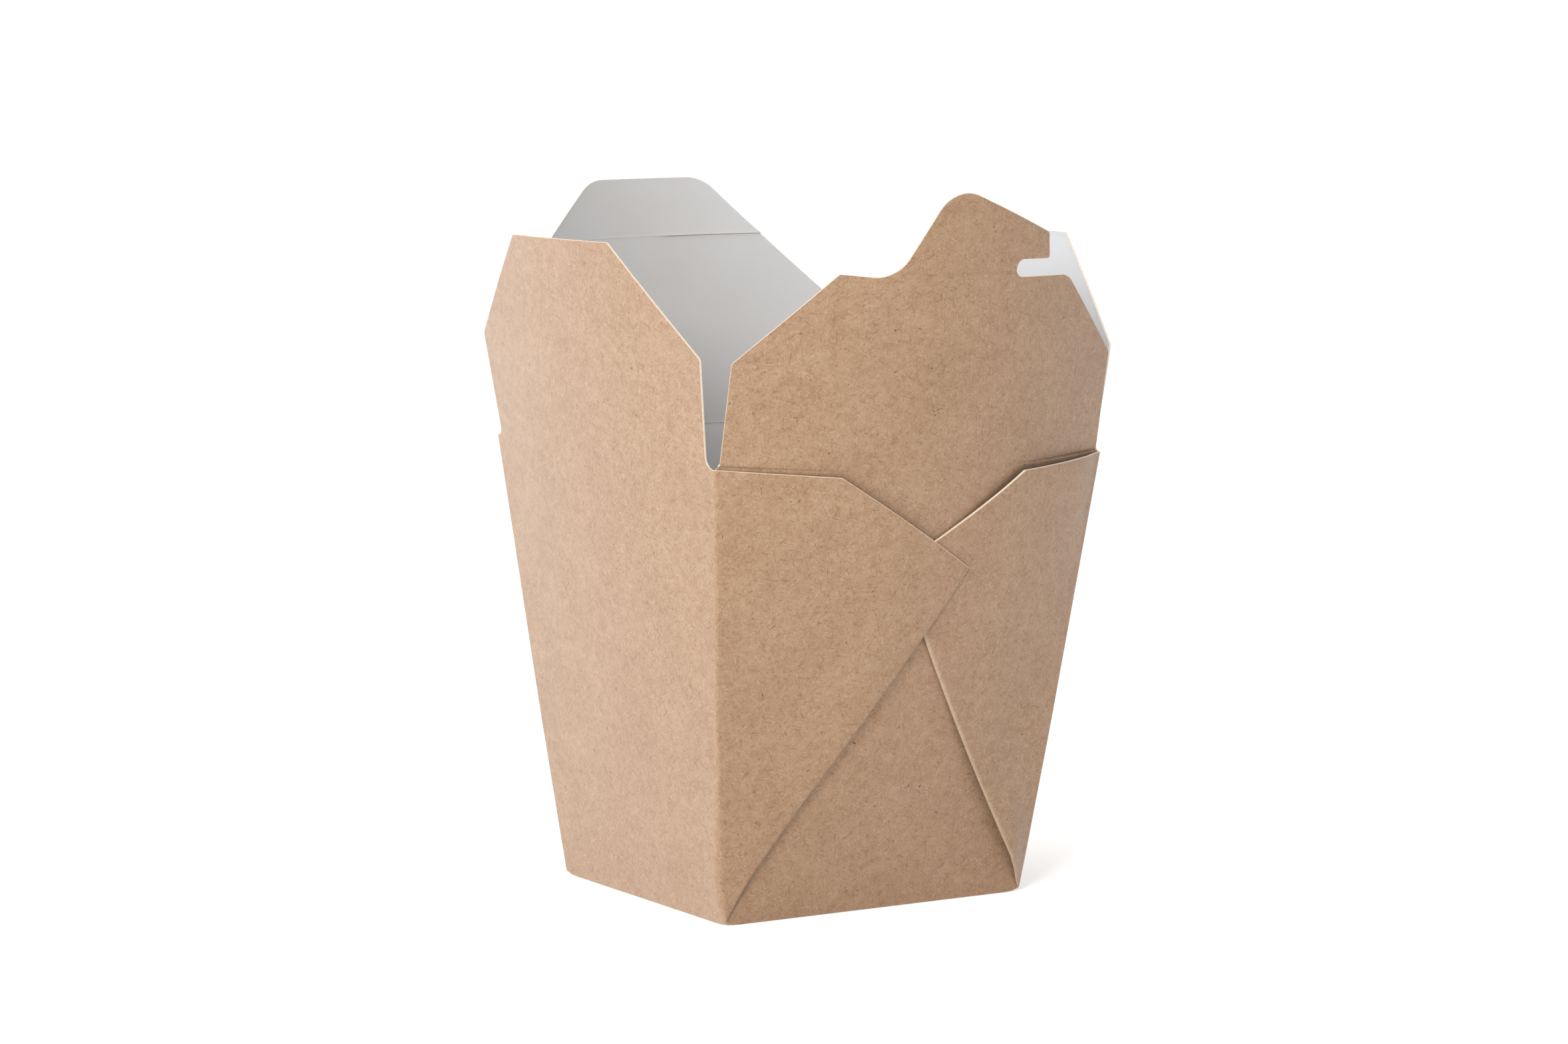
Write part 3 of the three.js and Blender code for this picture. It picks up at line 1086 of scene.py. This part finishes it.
def kraft_finish():
    """Cloudy brown under a felt of pale and dark fibres, bark flecks and worn spots, which along a web's
    fold are partly a painted highlight.
    """
    finish, tree, shader, flat = new_finish("unbleached_kraft_paperboard")
    cloudy = patches(tree, flat, CLOUD_SIZE, detail=3)
    fine = patches(tree, flat, GRAIN_SIZE, detail=4, seed=3.1)
    colour = add(tree, "Mix", {
        "Factor": cloudy, "A": srgb(KRAFT_DEEP), "B": srgb(KRAFT_LIGHT),
    }, data_type="RGBA").outputs["Result"]
    low, high = GRAIN_RANGE
    grain = add(tree, "MapRange", {"Value": fine, "From Min": low, "From Max": high})
    colour = tint(tree, colour, GRAIN, grain.outputs["Result"])
    felt = 0.0
    for i, angle in enumerate(FIBRE_ANGLES):
        pale = streaks(tree, flat, angle, seed=1.3 * i, **PALE_STROKE)
        colour = tint(tree, colour, PALE_FIBRE, pale)
        felt = add(tree, "Math", {0: felt, 1: pale}, operation="MAXIMUM").outputs[0]
    for i, angle in enumerate(FIBRE_ANGLES[::2]):
        dark = streaks(tree, flat, angle + DARK_TURN, seed=7 + 1.9 * i, **DARK_STROKE)
        colour = tint(tree, colour, DARK_FIBRE, dark)
    for i, angle in enumerate(FIBRE_ANGLES[1::2]):
        fleck = streaks(tree, flat, angle, seed=17 + 2.3 * i, **FLECK_STROKE)
        colour = tint(tree, colour, BARK_FLECK, fleck)
    # Paler where worn: torn fibres at a cut, and a partly painted highlight along a web's fold.
    wear_and_highlight = add(tree, "Attribute", attribute_name="wear_and_highlight").outputs["Fac"]
    low, high = TORN_AND_HIGHLIGHT_RANGE
    torn_and_highlight = add(tree, "MapRange", {
        "Value": wear_and_highlight, "From Min": low, "From Max": high,
    }, interpolation_type="SMOOTHSTEP")
    colour = tint(tree, colour, TORN_FIBRE_AND_HIGHLIGHT, torn_and_highlight.outputs["Result"])
    tree.links.new(colour, shader.inputs["Base Color"])
    shader.inputs["Roughness"].default_value = KRAFT_ROUGHNESS
    shader.inputs["Specular IOR Level"].default_value = KRAFT_SPECULAR
    shader.inputs["Sheen Weight"].default_value = KRAFT_SHEEN
    shader.inputs["Sheen Roughness"].default_value = KRAFT_SHEEN_ROUGHNESS
    relief = add(tree, "Math", {0: felt, 1: FELT_RELIEF, 2: fine}, operation="MULTIPLY_ADD")
    bump = add(tree, "Bump", {
        "Strength": KRAFT_BUMP, "Distance": RELIEF_DEPTH, "Height": relief.outputs[0],
    })
    tree.links.new(bump.outputs["Normal"], shader.inputs["Normal"])
    return finish


kraft = kraft_finish()
print("kraft: %d nodes" % len(kraft.node_tree.nodes))

# %% [markdown]
# ### White coated inside
#
# The inside is bleached board under a thin film of polyethylene. It is a soft white with a low
# sheen, and the film shows a very slight orange peel.

# %% Coated finish
COAT_DEEP = "BBB8B5"
COAT_LIGHT = "C1BFBE"
COAT_ROUGHNESS = 0.42
COAT_BUMP = 0.15
PEEL_SIZE = 1.6


def coated_finish():
    """Slightly cloudy white with the film's orange peel."""
    finish, tree, shader, flat = new_finish("polyethylene_coated_white_board")
    cloudy = patches(tree, flat, size_mm=15, detail=3)
    colour = add(tree, "Mix", {
        "Factor": cloudy, "A": srgb(COAT_DEEP), "B": srgb(COAT_LIGHT),
    }, data_type="RGBA")
    tree.links.new(colour.outputs["Result"], shader.inputs["Base Color"])
    shader.inputs["Roughness"].default_value = COAT_ROUGHNESS
    peel = patches(tree, flat, PEEL_SIZE, detail=2, seed=5)
    bump = add(tree, "Bump", {"Strength": COAT_BUMP, "Distance": RELIEF_DEPTH, "Height": peel})
    tree.links.new(bump.outputs["Normal"], shader.inputs["Normal"])
    return finish


coated = coated_finish()
print("coated inside: %d nodes" % len(coated.node_tree.nodes))

# %% [markdown]
# ### The cut edge
#
# A die cuts through all the plies at once, so the edge shows torn pale fibres, lighter than
# either face of the kraft.

# %% Cut edge finish
EDGE_DEEP = "CDBBA6"
EDGE_LIGHT = "EADBC8"
EDGE_ROUGHNESS = 0.85
EDGE_FIBRES = 0.8


def cut_edge_finish():
    """Pale, with the fine pattern of fibre ends."""
    finish, tree, shader, flat = new_finish("die_cut_board_edge")
    fibres = patches(tree, flat, EDGE_FIBRES, detail=3, seed=9)
    colour = add(tree, "Mix", {
        "Factor": fibres, "A": srgb(EDGE_DEEP), "B": srgb(EDGE_LIGHT),
    }, data_type="RGBA")
    tree.links.new(colour.outputs["Result"], shader.inputs["Base Color"])
    shader.inputs["Roughness"].default_value = EDGE_ROUGHNESS
    return finish


finishes = [kraft, coated, cut_edge_finish()]  # outer face, inner face, rim
for piece in made.values():
    for finish in finishes:
        piece.data.materials.append(finish)
print("finishes:", [finish.name for finish in finishes])

# %% [markdown]
# ## Bodies
#
# The walls, the webs and the base ride on the carton. A flap is one with the carton at its
# crease, so it blends from the carton's motion to its own within a few millimetres above it, as
# folding board does; the tongue and the tab do the same from their flaps.

# %% Ride, blend and replace
FLAP_BODIES = {
    "left_flap_board": "flap_left",
    "right_flap_board": "flap_right",
    "front_flap_board": "flap_front",
    "back_flap_board": "flap_back",
}
for name in ("front_wall", "back_wall", "left_wall_and_webs", "right_wall_and_webs", "base_panel"):
    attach(made[name], "carton")
    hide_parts("carton")

for name, body in FLAP_BODIES.items():
    low = (CREASE - SAG) * MM
    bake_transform(made[name], "carton", body, start=(0, 0, low), end=(0, 0, low + 0.005))
    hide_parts(body)

for name, parent, body in (
    ("tongue_board", "flap_front", "tongue"),
    ("tab_board", "flap_back", "tab"),
):
    low = min(vertex.co.z for vertex in made[name].data.vertices)
    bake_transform(made[name], parent, body, start=(0, 0, low), end=(0, 0, low + 0.003))
    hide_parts(body)
print("pieces:", len(made))

# %% [markdown]
# ## The studio
#
# A white light table with a low white wall round it, in a dim room. Most of the light comes from
# three small softboxes, which model the bowed walls and the folds. The table's own glow and a
# broad light above keep it white, and fill the lower walls.

# %% Light table
FLOOR_HALF = 6
FLOOR_GLOW = 0.36  # a light table: it fills the lower walls and softens the box's shadow
floor_mesh = bpy.data.meshes.new("floor")
floor_sheet = bmesh.new()
bmesh.ops.create_grid(floor_sheet, x_segments=1, y_segments=1, size=FLOOR_HALF)
floor_sheet.to_mesh(floor_mesh)
floor_sheet.free()
floor = new_object("floor", floor_mesh)
floor_finish = bpy.data.materials.new("white_laminate_table")
floor_finish.use_nodes = True
floor_shader = floor_finish.node_tree.nodes["Principled BSDF"]
floor_shader.inputs["Base Color"].default_value = srgb("FFFFFF")
floor_shader.inputs["Roughness"].default_value = 0.9
floor_shader.inputs["Specular IOR Level"].default_value = 0
floor_shader.inputs["Emission Color"].default_value = srgb("FFFFFF")
floor_shader.inputs["Emission Strength"].default_value = FLOOR_GLOW
floor_mesh.materials.append(floor_finish)
print("table %d m wide" % (2 * FLOOR_HALF))

# %% [markdown]
# ### The room
#
# The world is white all round. It is brightest in a band at the table's edge, which stands for
# the low wall, so the horizon can't be seen, and it fades upward into the dimmer room.

# %% Room
ROOM_LIGHT = 0.42
WALL_LIGHT = 1.05
WALL_TOP = (6, 11)  # degrees above the table, where the white wall fades into the dim room
world = bpy.data.worlds.new("white_studio")
world.use_nodes = True
room = world.node_tree
background = room.nodes["Background"]
background.inputs["Color"].default_value = (1, 1, 1, 1)
direction = add(room, "TexCoord").outputs["Generated"]
height = add(room, "SeparateXYZ", {"Vector": direction}).outputs["Z"]
strength = add(room, "MapRange", {
    "Value": add(room, "Math", {0: height}, operation="ABSOLUTE").outputs[0],
    "From Min": math.sin(math.radians(WALL_TOP[0])),
    "From Max": math.sin(math.radians(WALL_TOP[1])),
    "To Min": WALL_LIGHT, "To Max": ROOM_LIGHT,
}, interpolation_type="SMOOTHSTEP")
room.links.new(strength.outputs["Result"], background.inputs["Strength"])
bpy.context.scene.world = world
print("world strength: %.2f, and %.2f above" % (WALL_LIGHT, ROOM_LIGHT))

# %% [markdown]
# ### The lights
#
# Two softboxes, behind and to the left, graze the plain wall and bring out the board's sheen. The
# left one is a cool white. One in front to the left lights the gusseted wall at a slant, so its
# folds cast short shadows. A broad, parallel light from above keeps the whole table white, near
# and far.

# %% Lights
AIM = (0, 0, 0.08)  # the middle of the box
WHITE = (1, 1, 1)
COOL_WHITE = (0.92, 1.06, 1.22)
SKYLIGHT = 0.9
SKYLIGHT_SPREAD = math.radians(50)


def soft_light(name, place, size, power, colour=WHITE):
    """A square area light, aimed at the middle of the box."""
    lamp = bpy.data.lights.new(name, "AREA")
    lamp.size = size
    lamp.color = colour
    lamp.energy = power
    light = new_object(name, lamp)
    light.location = place
    aim = Vector(AIM) - Vector(place)
    light.rotation_mode = "QUATERNION"
    light.rotation_quaternion = aim.to_track_quat("-Z", "Y")
    print("%s: %.1f W" % (name, power))


soft_light("softbox_behind", place=(-0.6, 0.95, 0.2), size=0.7, power=3.6)
soft_light("softbox_left", place=(-1.7, 0.25, 0.5), size=0.6, power=11.8, colour=COOL_WHITE)
soft_light("softbox_front_left", place=(-1.2, -1.0, 0.8), size=0.6, power=23.4)

skylight = bpy.data.lights.new("skylight", "SUN")
skylight.energy = SKYLIGHT
skylight.angle = SKYLIGHT_SPREAD
new_object("skylight", skylight)
print("skylight: %.1f" % SKYLIGHT)
